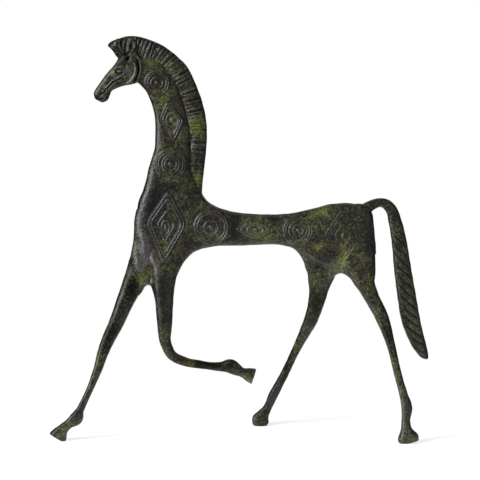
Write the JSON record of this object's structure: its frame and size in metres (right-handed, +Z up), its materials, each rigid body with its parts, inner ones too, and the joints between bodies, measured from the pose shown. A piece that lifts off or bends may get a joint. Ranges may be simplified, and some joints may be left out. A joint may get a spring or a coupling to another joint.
{
  "type": "bronze horse figure",
  "caption": "Flat cast bronze horse in the geometric manner, striding with a foreleg raised, with rings and lozenges in relief on its body; it stands by its own weight.",
  "frame": {"origin": "on the ground, in the middle of the figure's length and depth", "axes": "+Z up; the head points to -X; the near side, with the full ornament, faces -Y"},
  "size_m": [0.2383, 0.0544, 0.2516],
  "materials": {
    "bronze": "dark patinated cast bronze, near black with olive green patches, satin"
  },
  "bodies": {
    "root": {"horse": "bronze"}
  },
  "joints": []
}
